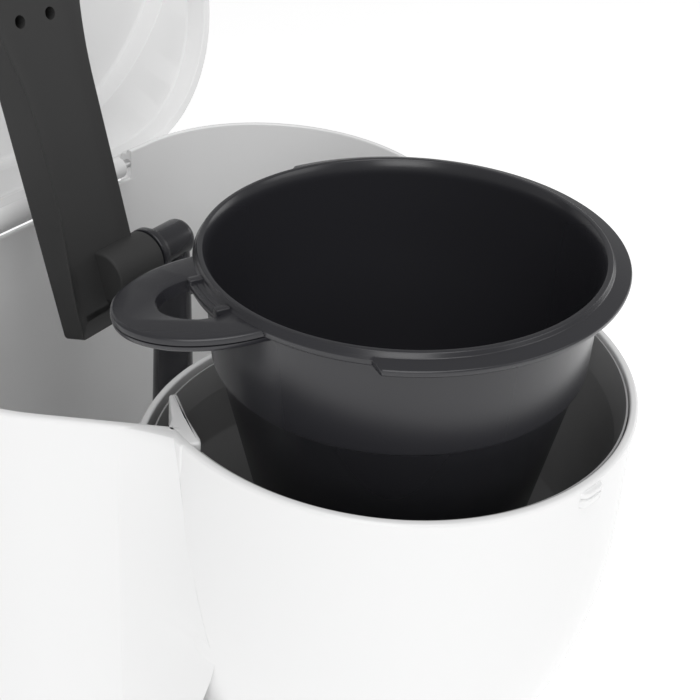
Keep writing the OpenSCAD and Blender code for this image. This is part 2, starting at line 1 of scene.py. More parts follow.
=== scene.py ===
"""Drip coffee maker with its lid and spray arm up and its filter basket lifted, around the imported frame.

Lengths are in millimetres in the part's frame, and become metres where a mesh is made. The joint axes
come from the frame, and the other driving sizes are those of the design.
"""
import json
import math

import bmesh
import bpy
from mathutils import Matrix, Vector


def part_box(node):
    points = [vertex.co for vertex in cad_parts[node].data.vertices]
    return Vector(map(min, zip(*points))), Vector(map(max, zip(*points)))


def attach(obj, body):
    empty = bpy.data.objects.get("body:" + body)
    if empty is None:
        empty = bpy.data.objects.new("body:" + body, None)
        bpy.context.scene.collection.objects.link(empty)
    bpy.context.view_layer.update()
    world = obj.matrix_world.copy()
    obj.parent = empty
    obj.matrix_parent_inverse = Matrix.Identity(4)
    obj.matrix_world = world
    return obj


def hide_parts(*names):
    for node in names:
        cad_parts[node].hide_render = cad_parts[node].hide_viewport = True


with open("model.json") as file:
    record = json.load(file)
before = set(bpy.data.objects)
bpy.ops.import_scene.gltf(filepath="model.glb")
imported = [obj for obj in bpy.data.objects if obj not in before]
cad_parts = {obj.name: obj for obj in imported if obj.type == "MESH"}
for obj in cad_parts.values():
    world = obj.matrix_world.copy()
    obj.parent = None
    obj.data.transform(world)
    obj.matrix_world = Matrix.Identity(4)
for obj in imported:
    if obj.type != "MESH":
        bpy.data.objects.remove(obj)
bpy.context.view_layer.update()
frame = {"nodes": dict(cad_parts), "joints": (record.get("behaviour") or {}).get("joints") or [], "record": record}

MM = 0.001
JOINTS = {j["name"]: j for j in frame["joints"]}
SLOT_OF = {s["node"]: s["material_slot"] for s in frame["record"]["subparts"]}


def joint_point(name):
    return Vector(JOINTS[name]["pos_m"]) / MM


# Housing
HINGE = joint_point("lid_hinge")
RIM_Z = HINGE.z + 5
SPLIT_Z = RIM_Z - 60
WALL = 2.3
OUT_FILLET = 1.0
IN_FILLET = 0.6
BOWL_R = 66.0
BELLY_FULL = 1.067
BELLY_DEPTH = 0.7
BOTTOM_IN = 0.427
BOTTOM_DEPTH = 1.05
OUTLET_R = 15.0
PARTITION_FROM = 35
PARTITION_TO = 157
PARTITION_DROP = 33.0
CATCH_HEADING = -101.6
TANK_MID_X = HINGE.x
BACK_Y = 143.2
TANK_FLOOR_Z = 172.5
BAY_R = 69.3
BASE_TOP = 28.0
NOTCH_HALF = 35.4
NOTCH_DEPTH = 10.4

# Corners of the tank's outline, as (x, y, radius)
LEFT_FRONT = (-59.9, 24.8, 3.0)
SOFT_LEFT_FRONT = (-53.4, 39.3, 16.0)
RIGHT_FRONT = (84.0, 37.3, 14.0)
RIGHT_BACK = (63.3, 83.8, 59.4)
LEFT_BACK = (-29.3, 83.8, 59.4)

# Lid
LID_SWING = JOINTS["lid_hinge"]["range_deg"][1]
LID_CENTRE = (5.0, 50.0)
LID_H = 20.0
LID_EDGE_H = 11.0
STEP_INSET = 12.0
STEP_Y = 10.0
STEP_R = 121.0
KNUCKLE_R = 3.8

# Spray arm and riser
PIVOT = joint_point("arm_pivot")
ARM_SWING = JOINTS["arm_pivot"]["range_deg"][1]
PIVOT_R = 8.5
ARM_HALF = 15.5
ARM_TAIL = 15.9
ARM_REACH = 105.0
SHOWER_R = 24.0
ARM_T = 8.0
ARM_NECK = 19.0
ARM_JOIN = ARM_REACH - math.sqrt(SHOWER_R ** 2 - ARM_NECK ** 2)
FLARE_FROM = 60
SPRAY_RING_R = 15.5
SPRAY_RING_Y = 96.0
COLUMN = Vector((33.0, 105.6))

# Filter basket
BASKET_TOP = joint_point("basket_turn")
BASKET_UP = Vector(JOINTS["basket_turn"]["axis"]).normalized()
MOUTH_R = 52.0
BEAD_R = MOUTH_R + 2.6
FLANGE_R = 58.4
FLANGE_FROM = -156.5
FLANGE_FROM_RUN = 2.5
FLANGE_TO = 69
FLANGE_TO_RUN = 5
BASKET_H = 77.0
BASKET_FLOOR = 2
BAND_H = 30.0
HANDLE_HEADING = 152.5
HANDLE_REACH = 79.0
HANDLE_ROOT = 50
LUG_SIDE = 7.9
LUG_HALF = 1.2
BAR_R = 56.4

# Warming plate and carafe
PLATE_TOP = 31.0
GLASS_T = 1.8
NECK_R = 41.1
BAND_LOW = 138
BAND_TOP = 147

# Camera, in metres
CAMERA_AT = Vector((-0.2445, -0.1278, 0.4769))
CAMERA_FORWARD = Vector((0.7253, 0.4171, -0.5477)).normalized()
CAMERA_UP = Vector((0.4200, 0.3623, 0.8321))
CAMERA_LENS = 61.714


# ---------------------------------------------------------------- shells of points and faces

def skin(rings, loop=False):
    """Closed shell over rings of equally many points, capped at both ends unless it loops."""
    size = len(rings[0])
    count = len(rings)
    faces = []
    for i in range(count if loop else count - 1):
        a = i * size
        b = (i + 1) % count * size
        faces += [(a + k, a + (k + 1) % size, b + (k + 1) % size, b + k) for k in range(size)]
    if not loop:
        faces += [tuple(range(size)), tuple(range((count - 1) * size, count * size))]
    return [Vector(p) for ring in rings for p in ring], faces


def moved(shell, matrix):
    return [matrix @ p for p in shell[0]], shell[1]


def rounded(corners, steps=5):
    """Closed outline through (x, y, radius) corners, each an arc of that radius."""
    points = []
    for i, (x, y, r) in enumerate(corners):
        here = Vector((x, y))
        back = Vector(corners[i - 1][:2]) - here
        on = Vector(corners[(i + 1) % len(corners)][:2]) - here
        if r <= 0:
            points.append((x, y))
            continue
        half = back.angle(on) / 2
        reach = min(r / math.tan(half), 0.49 * back.length, 0.49 * on.length)
        start = here + back.normalized() * reach
        end = here + on.normalized() * reach
        centre = here + (back.normalized() + on.normalized()).normalized() * reach / math.cos(half)
        first = start - centre
        turn = math.atan2(first.x * (end - centre).y - first.y * (end - centre).x, first.dot(end - centre))
        for k in range(steps + 1):
            spin = Matrix.Rotation(turn * k / steps, 2)
            points.append(tuple(centre + spin @ first))
    return points


def spline(knots, steps=8):
    """Smooth open curve through the knots, of any dimension."""
    knots = [Vector(k) for k in knots]
    ends = [2 * knots[0] - knots[1]] + knots + [2 * knots[-1] - knots[-2]]
    points = []
    for a, b, c, d in zip(ends, ends[1:], ends[2:], ends[3:]):
        for k in range(steps):
            t = k / steps
            points.append(0.5 * (2 * b + (c - a) * t + (2 * a - 5 * b + 4 * c - d) * t * t
                                 + (3 * b - a - 3 * c + d) * t ** 3))
    return points + [knots[-1]]


def thickened(curve, t):
    """Closed profile of an open (r, z) curve and its copy moved by t to the right of its run."""
    other = []
    for i, p in enumerate(curve):
        run = Vector(curve[min(i + 1, len(curve) - 1)]) - Vector(curve[max(i - 1, 0)])
        run.normalize()
        other.append((max(0.0, p[0] + run.y * t), p[1] - run.x * t))
    return [tuple(p) for p in curve] + other[::-1]


def inset_outline(points, depth):
    """Closed anticlockwise outline moved inwards."""
    result = []
    count = len(points)
    for i, p in enumerate(points):
        before = Vector(p) - Vector(points[i - 1])
        after = Vector(points[(i + 1) % count]) - Vector(p)
        n1 = Vector((before.y, -before.x)).normalized()
        n2 = Vector((after.y, -after.x)).normalized()
        n = (n1 + n2) / max(0.3, 1 + n1.dot(n2))
        result.append((p[0] - n.x * depth, p[1] - n.y * depth))
    return result


def plate(outline, levels):
    """Solid over one outline, with a ring at each (z, inset) level."""
    return skin([[(x, y, z) for x, y in inset_outline(outline, inset)] for z, inset in levels])


def edge_levels(z0, z1, r0, r1, steps=4):
    """Levels of a plate from z0 up to z1 whose lower and upper edges have fillets of radius r0 and r1."""
    down = [(z0, 0)]
    if r0:
        down = [(z0 + r0 - r0 * math.cos(a), r0 - r0 * math.sin(a)) for a in quarter(steps)]
    up = [(z1, 0)]
    if r1:
        up = [(z1 - r1 + r1 * math.sin(a), r1 - r1 * math.cos(a)) for a in quarter(steps)]
    return down + up


def quarter(steps):
    return [math.pi / 2 * k / steps for k in range(steps + 1)]


def lathe(profile, steps=192):
    """Turns a closed (r, z) profile about Z."""
    return lathe_stops(lambda angle: profile, [360 * k / steps for k in range(steps)])


def disc(radius, low, high):
    """Plain cylinder about Z."""
    return lathe([(0, low), (radius, low), (radius, high), (0, high)])


def lathe_stops(profile_at, angles):
    """Turns a profile that may change with the angle, in degrees, but keeps its number of points."""
    rings = []
    for angle in angles:
        c, s = math.cos(math.radians(angle)), math.sin(math.radians(angle))
        rings.append([(r * c, r * s, z) for r, z in profile_at(angle)])
    return skin(rings, loop=True)


def stops(steps, edges, gap=0.4):
    """Evenly spaced angles, with a close pair at each edge so that a step there is crisp."""
    even = [360 * k / steps for k in range(steps)]
    even = [a for a in even if all(abs((a - e + 180) % 360 - 180) > gap for e in edges)]
    pairs = [(e + side * gap / 2) % 360 for e in edges for side in (-1, 1)]
    return sorted(even + pairs)


def tube(path, radius, sides):
    """Round rod along a path."""
    path = [Vector(p) for p in path]
    rings = []
    side = None
    for i, p in enumerate(path):
        run = (path[min(i + 1, len(path) - 1)] - path[max(i - 1, 0)]).normalized()
        if side is None:
            side = run.orthogonal().normalized()
        side = (side - run * side.dot(run)).normalized()
        up = run.cross(side)
        rings.append([p + radius * (math.cos(a) * side + math.sin(a) * up)
                      for a in (2 * math.pi * k / sides for k in range(sides))])
    return skin(rings)


def swept(path, section_at, across):
    """Carries a section of (across, out) points along a path. across is the section's fixed direction."""
    path = [Vector(p) for p in path]
    across = Vector(across)
    rings = []
    for i, p in enumerate(path):
        run = (path[min(i + 1, len(path) - 1)] - path[max(i - 1, 0)]).normalized()
        out = run.cross(across).normalized()
        rings.append([p + across * a + out * b for a, b in section_at(i / (len(path) - 1))])
    return skin(rings)


def x_rod(radius, x0, x1, y, z, fillet=0.6, sides=64):
    """Cylinder along X with filleted ends."""
    profile = rounded([(0, x0, 0), (radius, x0, fillet), (radius, x1, fillet), (0, x1, 0)])
    turn = Matrix.Translation((0, y, z)) @ Matrix.Rotation(math.pi / 2, 4, "Y")
    return moved(lathe(profile, sides), turn)


# ---------------------------------------------------------------- meshes and pieces

def clean_part(verts, faces):
    """One shell in metres, with coinciding points merged and its normals outwards."""
    part = bmesh.new()
    made = [part.verts.new(p * MM) for p in verts]
    for face in faces:
        try:
            part.faces.new([made[i] for i in face])
        except ValueError:
            continue
    bmesh.ops.remove_doubles(part, verts=part.verts, dist=2e-6)
    bmesh.ops.dissolve_degenerate(part, edges=part.edges, dist=1e-6)
    bmesh.ops.recalc_face_normals(part, faces=part.faces)
    mesh = bpy.data.meshes.new("part")
    part.to_mesh(mesh)
    part.free()
    return mesh


def object_of(name, shells):
    """One object made of closed shells."""
    whole = bmesh.new()
    for shell in shells:
        mesh = clean_part(*shell)
        whole.from_mesh(mesh)
        bpy.data.meshes.remove(mesh)
    mesh = bpy.data.meshes.new(name)
    whole.to_mesh(mesh)
    whole.free()
    piece = bpy.data.objects.new(name, mesh)
    bpy.context.scene.collection.objects.link(piece)
    return piece


def combine(piece, other, operation="DIFFERENCE"):
    """Cuts or joins another object into a piece, and removes it."""
    modifier = piece.modifiers.new("combine", "BOOLEAN")
    modifier.operation = operation
    modifier.solver = "EXACT"
    modifier.object = other
    bpy.context.view_layer.update()
    mesh = bpy.data.meshes.new_from_object(piece.evaluated_get(bpy.context.evaluated_depsgraph_get()))
    piece.modifiers.clear()
    piece.data = mesh
    bpy.data.objects.remove(other)
    return piece


def cut(piece, shell):
    """Takes a shell out of a piece."""
    return combine(piece, object_of("cutter", [shell]))


def absorb(piece, other):
    """Adds another object's faces to a piece as they are, and removes it."""
    whole = bmesh.new()
    whole.from_mesh(piece.data)
    whole.from_mesh(other.data)
    whole.to_mesh(piece.data)
    whole.free()
    bpy.data.objects.remove(other)


def smooth(piece):
    piece.data.shade_smooth()
    piece.data.set_sharp_from_angle(angle=math.radians(32))


def fit(piece, body, slot, *nodes, finish=None):
    """Gives a piece its body and its finish, and hides the design's nodes that it stands for."""
    smooth(piece)
    piece.data.materials.clear()
    piece.data.materials.append(material(finish or slot))
    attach(piece, body)
    if nodes:
        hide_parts(*nodes)
    return piece


# ---------------------------------------------------------------- materials

def shader_tree(name):
    made = bpy.data.materials.new(name)
    made.use_nodes = True
    nodes = made.node_tree.nodes
    nodes.clear()
    surface = nodes.new("ShaderNodeBsdfPrincipled")
    output = nodes.new("ShaderNodeOutputMaterial")
    made.node_tree.links.new(surface.outputs["BSDF"], output.inputs["Surface"])
    return made, nodes, made.node_tree.links, surface


def noise(nodes, links, scale, detail=3.0, stretch=(1, 1, 1)):
    """Noise in object space, which may be stretched along an axis."""
    place = nodes.new("ShaderNodeTexCoord")
    mapping = nodes.new("ShaderNodeMapping")
    mapping.inputs["Scale"].default_value = stretch
    texture = nodes.new("ShaderNodeTexNoise")
    texture.inputs["Scale"].default_value = scale
    texture.inputs["Detail"].default_value = detail
    links.new(place.outputs["Object"], mapping.inputs["Vector"])
    links.new(mapping.outputs["Vector"], texture.inputs["Vector"])
    return texture.outputs["Fac"]


def ramp(nodes, links, source, low, high, start=0.35, end=0.65):
    """Maps a texture onto the range from low to high, for a number or a colour."""
    ramped = nodes.new("ShaderNodeValToRGB")
    ramped.color_ramp.elements[0].position = start
    ramped.color_ramp.elements[1].position = end
    for element, value in zip(ramped.color_ramp.elements, (low, high)):
        element.color = (value, value, value, 1) if isinstance(value, float) else (*value, 1)
    links.new(source, ramped.inputs["Fac"])
    return ramped.outputs["Color"]


def bump(nodes, links, surface, source, depth_mm, strength=1.0, under=None):
    bumped = nodes.new("ShaderNodeBump")
    bumped.inputs["Distance"].default_value = depth_mm * MM
    bumped.inputs["Strength"].default_value = strength
    links.new(source, bumped.inputs["Height"])
    if under:
        links.new(under, bumped.inputs["Normal"])
    links.new(bumped.outputs["Normal"], surface.inputs["Normal"])
    return bumped.outputs["Normal"]


def shade(colour, factor):
    return tuple(min(1.0, c * factor) for c in colour)


def plastic(name, colour, rough, spread=0.06, grain=0.02, variation=0.06, coat=0.0, shine=0.5):
    """Moulded plastic: cloudy tone, uneven gloss and a fine skin of grain."""
    made, nodes, links, surface = shader_tree(name)
    tone = noise(nodes, links, 24, 4)
    links.new(ramp(nodes, links, tone, shade(colour, 1 - variation), shade(colour, 1 + variation)),
              surface.inputs["Base Color"])
    sheen = noise(nodes, links, 90, 5)
    links.new(ramp(nodes, links, sheen, rough - spread, rough + spread), surface.inputs["Roughness"])
    waves = bump(nodes, links, surface, noise(nodes, links, 130, 2), 0.012, 0.5)
    bump(nodes, links, surface, noise(nodes, links, 2600, 2), grain, 0.6, waves)
    surface.inputs["Coat Weight"].default_value = coat
    surface.inputs["Coat Roughness"].default_value = 0.12
    surface.inputs["IOR"].default_value = 1.5
    surface.inputs["Specular IOR Level"].default_value = shine
    return made


def rubber(name, colour):
    made, nodes, links, surface = shader_tree(name)
    tone = noise(nodes, links, 60, 4)
    mottle = ramp(nodes, links, tone, shade(colour, 0.8), shade(colour, 1.2))
    links.new(mottle, surface.inputs["Base Color"])
    links.new(ramp(nodes, links, noise(nodes, links, 300, 3), 0.55, 0.75), surface.inputs["Roughness"])
    bump(nodes, links, surface, noise(nodes, links, 1500, 3), 0.05, 0.6)
    surface.inputs["Sheen Weight"].default_value = 0.1
    return made


def metal(name, colour, rough, stretch=(1, 1, 1)):
    """Metal with fine brushed streaks along the axis that stretch leaves short."""
    made, nodes, links, surface = shader_tree(name)
    streaks = noise(nodes, links, 900, 4, stretch)
    brushed = ramp(nodes, links, streaks, shade(colour, 0.85), shade(colour, 1.1))
    links.new(brushed, surface.inputs["Base Color"])
    links.new(ramp(nodes, links, streaks, rough - 0.08, rough + 0.1), surface.inputs["Roughness"])
    bump(nodes, links, surface, streaks, 0.01, 0.5)
    surface.inputs["Metallic"].default_value = 1.0
    return made


def clear(name, colour, ior, rough):
    """Glass or clear plastic with faint waves."""
    made, nodes, links, surface = shader_tree(name)
    tint = ramp(nodes, links, noise(nodes, links, 40, 2), shade(colour, 0.98), shade(colour, 1.02))
    links.new(tint, surface.inputs["Base Color"])
    haze = noise(nodes, links, 150, 3)
    links.new(ramp(nodes, links, haze, rough, rough + 0.03), surface.inputs["Roughness"])
    bump(nodes, links, surface, noise(nodes, links, 60, 2), 0.02, 0.4)
    surface.inputs["Transmission Weight"].default_value = 1.0
    surface.inputs["IOR"].default_value = ior
    return made


def coated_plate(name):
    """Non-stick coating with a fine speckle."""
    made, nodes, links, surface = shader_tree(name)
    speckle = noise(nodes, links, 1400, 2)
    links.new(ramp(nodes, links, speckle, (0.018, 0.018, 0.02), (0.06, 0.06, 0.063), 0.55, 0.72),
              surface.inputs["Base Color"])
    links.new(ramp(nodes, links, speckle, 0.42, 0.55), surface.inputs["Roughness"])
    bump(nodes, links, surface, noise(nodes, links, 700, 3), 0.03, 0.6)
    return made


MAKERS = {
    "white_plastic": lambda n: plastic(n, (0.83, 0.83, 0.835), 0.34, 0.05, 0.012, 0.012),
    "black_plastic": lambda n: plastic(n, (0.05, 0.05, 0.051), 0.18, 0.03, 0.005, 0.12, shine=0.25),
    # Painted light: the liner is black plastic, lightened to grey here to stand in for light falling into the
    # bowl.
    "liner": lambda n: plastic(n, (0.4, 0.4, 0.402), 0.4, 0.05, 0.01, 0.06, shine=0.3),
    "black_satin": lambda n: plastic(n, (0.024, 0.024, 0.025), 0.26, 0.04, 0.008, 0.15, shine=0.4),
    "grey_plastic": lambda n: plastic(n, (0.3, 0.31, 0.32), 0.42, 0.06, 0.03),
    "clear_plastic": lambda n: clear(n, (0.9, 0.95, 0.97), 1.49, 0.05),
    "glass": lambda n: clear(n, (0.96, 0.985, 0.98), 1.47, 0.0),
    "silicone": lambda n: plastic(n, (0.72, 0.72, 0.69), 0.45, 0.05, 0.02),
    "black_rubber": lambda n: rubber(n, (0.02, 0.02, 0.021)),
    "red_silicone": lambda n: rubber(n, (0.45, 0.04, 0.03)),
    "red_plastic": lambda n: plastic(n, (0.55, 0.025, 0.02), 0.18, 0.04, 0.006, 0.08, 0.3),
    "steel": lambda n: metal(n, (0.62, 0.62, 0.63), 0.28, (1, 1, 8)),
    "aluminium": lambda n: metal(n, (0.75, 0.76, 0.77), 0.36, (1, 1, 6)),
    "plate_coating": coated_plate,
    "brass": lambda n: metal(n, (0.72, 0.52, 0.22), 0.3),
    "wire": lambda n: rubber(n, (0.75, 0.75, 0.72)),
}


def material(slot):
    return bpy.data.materials.get(slot) or MAKERS[slot](slot)


# ---------------------------------------------------------------- outlines of the machine

def tangent_normal(a, b):
    """Outward normal of the line that touches circles a and b, going anticlockwise."""
    run = Vector((b[0] - a[0], b[1] - a[1]))
    along = run.normalized()
    lean = (a[2] - b[2]) / run.length
    level = math.sqrt(1 - lean * lean)
    return Vector((along.x * lean + along.y * level, along.y * lean - along.x * level))


def arc_stations(before, circle, after, step=4.0):
    """Points with outward normals round one corner of the outline."""
    first = tangent_normal(before, circle)
    last = tangent_normal(circle, after)
    turn = math.atan2(first.x * last.y - first.y * last.x, first.dot(last)) % (2 * math.pi)
    count = max(4, round(math.degrees(turn) / step))
    stations = []
    for k in range(count + 1):
        normal = Matrix.Rotation(turn * k / count, 2) @ first
        stations.append((Vector(circle[:2]) + normal * circle[2], normal))
    return stations


def tank_outline(inset=0.0):
    """Anticlockwise outline of tank and column, as points. Deep insets soften the left front corner."""
    front = LEFT_FRONT if inset < LEFT_FRONT[2] else SOFT_LEFT_FRONT
    corners = [(x, y, r - inset) for x, y, r in (front, RIGHT_FRONT, RIGHT_BACK, LEFT_BACK)]
    return [tuple(p) for i in range(4)
            for p, n in arc_stations(corners[i - 1], corners[i], corners[(i + 1) % 4])]


def upper_wall_stations():
    """The outline from the right shoulder round the back to the left junction with the bowl.

    Each station is (point, normal, height of the wall's top).
    """
    front = tangent_normal(LEFT_FRONT, RIGHT_FRONT)
    shoulder = Vector((21, 0.2))
    start = Vector(RIGHT_FRONT[:2]) + front * RIGHT_FRONT[2] - shoulder
    right = arc_stations(LEFT_FRONT, RIGHT_FRONT, RIGHT_BACK)
    back_right = arc_stations(RIGHT_FRONT, RIGHT_BACK, LEFT_BACK, 3.0)
    back_left = arc_stations(RIGHT_BACK, LEFT_BACK, LEFT_FRONT, 3.0)
    left = arc_stations(LEFT_BACK, LEFT_FRONT, RIGHT_FRONT)
    stations = [(start, front, RIM_Z)] + [(p, n, RIM_Z) for p, n in right + back_right]
    for side, inner in ((1, False), (-1, True)):
        edge = TANK_MID_X + side * NOTCH_HALF
        tops = (RIM_Z, RIM_Z - NOTCH_DEPTH) if side > 0 else (RIM_Z - NOTCH_DEPTH, RIM_Z)
        for shift, top in zip((0.15, -0.15), tops):
            stations.append((Vector((edge + shift, BACK_Y)), Vector((0, 1)), top))
    stations += [(p, n, RIM_Z) for p, n in back_left]
    stations += [(p, n, RIM_Z) for p, n in left[:6]]
    return stations


def exit_distance(centre, angle, outline):
    """Distance from a centre inside a closed outline to the outline, at an angle."""
    run = Vector((math.cos(angle), math.sin(angle)))
    best = 0.0
    for i, p in enumerate(outline):
        a = Vector(outline[i - 1]) - centre
        edge = Vector(p) - centre - a
        slant = run.x * edge.y - run.y * edge.x
        if abs(slant) < 1e-9:
            continue
        share = (a.x * run.y - a.y * run.x) / slant
        if -1e-6 <= share <= 1 + 1e-6:
            best = max(best, (a + edge * share).dot(run))
    return best


def circle_points(x, y, r, steps=180):
    return [(x + r * math.cos(2 * math.pi * k / steps), y + r * math.sin(2 * math.pi * k / steps))
            for k in range(steps)]


def soft_max(a, b, blend):
    gap = max(0.0, 1 - abs(a - b) / blend)
    return max(a, b) + gap * gap * blend / 4


def joined_outline(first, second, centre, blend, steps=240, trims=()):
    """Outline of two overlapping shapes, with soft inner corners, as seen from a centre."""
    centre = Vector(centre)
    points = []
    for k in range(steps):
        angle = 2 * math.pi * k / steps
        reach = soft_max(exit_distance(centre, angle, first), exit_distance(centre, angle, second), blend)
        for trim in trims:
            reach = -soft_max(-reach, -exit_distance(centre, angle, trim), 1.5)
        points.append((centre.x + reach * math.cos(angle), centre.y + reach * math.sin(angle)))
    return points


def lid_outline(inset):
    return joined_outline(tank_outline(inset), circle_points(0, 0, BOWL_R + WALL - inset), LID_CENTRE, 5)


def step_outline(inset):
    """Outline of the lid's deeper middle, whose back edge is a wide arc."""
    depth = STEP_INSET + inset
    return joined_outline(tank_outline(depth), circle_points(0, 0, BOWL_R + WALL - depth), LID_CENTRE, 5,
                          trims=[circle_points(TANK_MID_X, STEP_Y, STEP_R - inset, 240)])


# ---------------------------------------------------------------- housing

def belly(t):
    """Outer radius of the bowl at depth t, in shares of BOWL_R, down to its fullest part."""
    rim = 1 + WALL / BOWL_R
    return BOWL_R * (rim + (BELLY_FULL - rim) * math.sin(math.pi / 2 * t / BELLY_DEPTH) ** 2)


def bowl_section(top):
    """Closed (r, z) section of the bowl's wall, from a top depth down to the outlet and back up inside."""
    t0 = top / BOWL_R
    outer, inner = [], []
    for k in range(1, 13):
        t = t0 + (BELLY_DEPTH - t0) * (0.06 + 0.94 * k / 12)
        z = RIM_Z - BOWL_R * t
        outer.append((belly(t), z))
        inner.append((belly(t) - WALL, z))
    for k in range(1, 17):
        a = math.pi / 2 * k / 16
        r = BOWL_R * (BELLY_FULL - BOTTOM_IN * (1 - math.cos(a)))
        z = RIM_Z - BOWL_R * (BELLY_DEPTH + BOTTOM_DEPTH * math.sin(a))
        outer.append((r, z))
        inner.append((r - WALL * math.cos(a), z + WALL * math.sin(a)))
    outer.append((OUTLET_R, outer[-1][1]))
    inner.append((OUTLET_R, inner[-1][1]))
    return inner[::-1] + bowl_lip(belly(t0), RIM_Z - top) + outer


def bowl_lip(r, z):
    """Filleted edge of the bowl's wall, from its inner to its outer side."""
    inner = [(r - WALL + IN_FILLET * (1 - math.cos(a)), z - IN_FILLET * (1 - math.sin(a)))
             for a in quarter(4)]
    outer = [(r - OUT_FILLET * (1 - math.sin(a)), z - OUT_FILLET * (1 - math.cos(a)))
             for a in quarter(5)]
    return inner + outer


def bowl_shell():
    def at(angle):
        low = PARTITION_FROM < angle < PARTITION_TO
        return bowl_section(PARTITION_DROP if low else 0.0)
    return lathe_stops(at, stops(240, [PARTITION_FROM, PARTITION_TO]))


def wall_profile(top, bottom):
    """Closed (offset, z) profile of a standing wall whose outer face is at offset 0."""
    return rounded([(0, bottom, 0), (0, top, OUT_FILLET), (-WALL, top, IN_FILLET), (-WALL, bottom, 0)])


def upper_wall():
    rings = []
    for point, normal, top in upper_wall_stations():
        rings.append([(point.x + normal.x * d, point.y + normal.y * d, z)
                      for d, z in wall_profile(top, SPLIT_Z)])
    return skin(rings)


def lower_block():
    """Column and tank below the bowl's belly: the outline less the carafe's bay, hollow."""
    outline = tank_outline()
    block = object_of("lower_block", [plate(outline, [(BASE_TOP, 0), (SPLIT_Z, 0)])])
    hollow = object_of("hollow", [plate(outline, [(BASE_TOP - 1, WALL), (RIM_Z, WALL)])])
    cut(hollow, disc(BAY_R + WALL, 0, RIM_Z))
    combine(block, hollow)
    cut(block, disc(BAY_R, 0, SPLIT_Z - 0.5))
    return cut(block, disc(BAY_R, SPLIT_Z - 1, RIM_Z))


def tank_floor():
    """Floor of the tank, between the walls and round the bay."""
    floor = object_of("tank_floor", [plate(tank_outline(), [(TANK_FLOOR_Z - WALL, 1), (TANK_FLOOR_Z, 1)])])
    return cut(floor, disc(BAY_R + 1, TANK_FLOOR_Z - 20, TANK_FLOOR_Z + 20))


def fin():
    """Bent stub of wall at full height beside the end of the low partition."""
    outline = rounded([(-61.6, 16.2, 0.9), (-60.3, 17.6, 0.9), (-55.6, 25.6, 6), (-49.6, 33.9, 0.8),
                       (-51.3, 35.3, 0.8), (-58.4, 28.3, 6), (-63.6, 25.6, 2), (-66.0, 19.0, 1)], 4)
    return plate(outline, edge_levels(RIM_Z - 46, RIM_Z - 0.1, 0, 0.9))


def hinge_ears():
    """Two bosses on the outside of the back wall that carry the lid's pin."""
    ear_w = 7
    drop = 14
    side = rounded([(-1.3, 0, 0), (-1.3, 17.6, 1.5), (4.1, 17.6, 4), (4.1, 0, 3)], 8)
    ears = []
    for x in (TANK_MID_X - NOTCH_HALF - ear_w, TANK_MID_X + NOTCH_HALF):
        turn = Matrix(((0, 0, 1, x), (1, 0, 0, HINGE.y), (0, 1, 0, HINGE.z - drop), (0, 0, 0, 1)))
        ears.append(moved(plate(side[::-1], edge_levels(0, ear_w, 0.7, 0.7)), turn))
    return ears


def web_ring(x, y, z, inset=0.0):
    """Section of the web at a height, from the tank's left wall to the point where it meets the bowl."""
    normal = tangent_normal(LEFT_BACK, LEFT_FRONT)
    along = Vector((-normal.y, normal.x))
    start = Vector(LEFT_FRONT[:2]) + normal * (LEFT_FRONT[2] - 0.05) - along * 15
    end = Vector((x, y))
    bend = start + along * 5 + (end - start) * 0.28
    outer, inner = [], []
    for k in range(13):
        t = k / 12
        p = start * (1 - t) ** 2 + bend * 2 * t * (1 - t) + end * t * t
        thick = 1.6 + 0.6 * t + 3.0 * t * (1 - t)
        outer.append((*(p - normal * inset), z))
        inner.append((*(p - normal * thick), z))
    return outer + inner[::-1]


def web():
    """Soft web that joins the tank's left wall to the bowl's belly, arched over the bay's side."""
    meets = [(-64.8, 21.6, RIM_Z - 1.1), (-67, 17, 275), (-69.6, 10.5, 255), (-70, 6, 240), (-69.4, 4, 230),
             (-70.4, 10, 200), (-68, 20, 135), (-64.6, 24, BASE_TOP)]
    rings = [web_ring(-64.6, 21.9, RIM_Z - 0.05, 1.0), web_ring(-64.7, 21.7, RIM_Z - 0.4, 0.35)]
    return skin(rings + [web_ring(*p) for p in spline(meets, 6)])


def rim_catch():
    """Short thickening of the rim that the lid's latch hooks under."""
    half_turn = 3.6
    r = belly(0.02)
    foot = r - 0.8
    groove = r + 0.15
    rings = []
    for k in range(13):
        share = 2 * k / 12 - 1
        angle = math.radians(CATCH_HEADING + half_turn * share)
        proud = 1.5 * (1 - abs(share) ** 6)
        section = rounded([(foot, -6.4, 0), (r + proud, -5.6, 0.4), (r + proud, -3.6, 0.3),
                           (groove, -3.4, 0.1), (groove, -3.0, 0.1), (r + 0.9 * proud, -2.8, 0.3),
                           (r + 0.8 * proud, -1.5, 0.5), (foot, -1.2, 0)], 3)
        rings.append([(a * math.cos(angle), a * math.sin(angle), RIM_Z + z) for a, z in section])
    return skin(rings)


def make_housing():
    shells = [bowl_shell(), upper_wall(), fin(), web(), rim_catch(), *hinge_ears()]
    housing = object_of("housing_shell", shells)
    for extra in (lower_block(), tank_floor()):
        absorb(housing, extra)
    return fit(housing, "machine", "white_plastic", "housing")


def liner_section(top):
    """Closed (r, z) section of the liner from a top depth down to its outlet."""
    r = BOWL_R - 0.3
    inner = r - 1.8
    low, floor = -105.3, -103.5
    corners = [(r, -top, 0.5), (r, -62, 6), (54, low, 5), (16, low, 1), (14, low - 6.9, 0.3),
               (12.4, low - 6.9, 0.3), (14.4, floor, 2), (52.6, floor, 6), (inner, -61.6, 6),
               (inner, -top - 10, 2), (r - 0.6, -top, 0.2)]
    return [(x, RIM_Z + z) for x, z in rounded(corners, 4)]


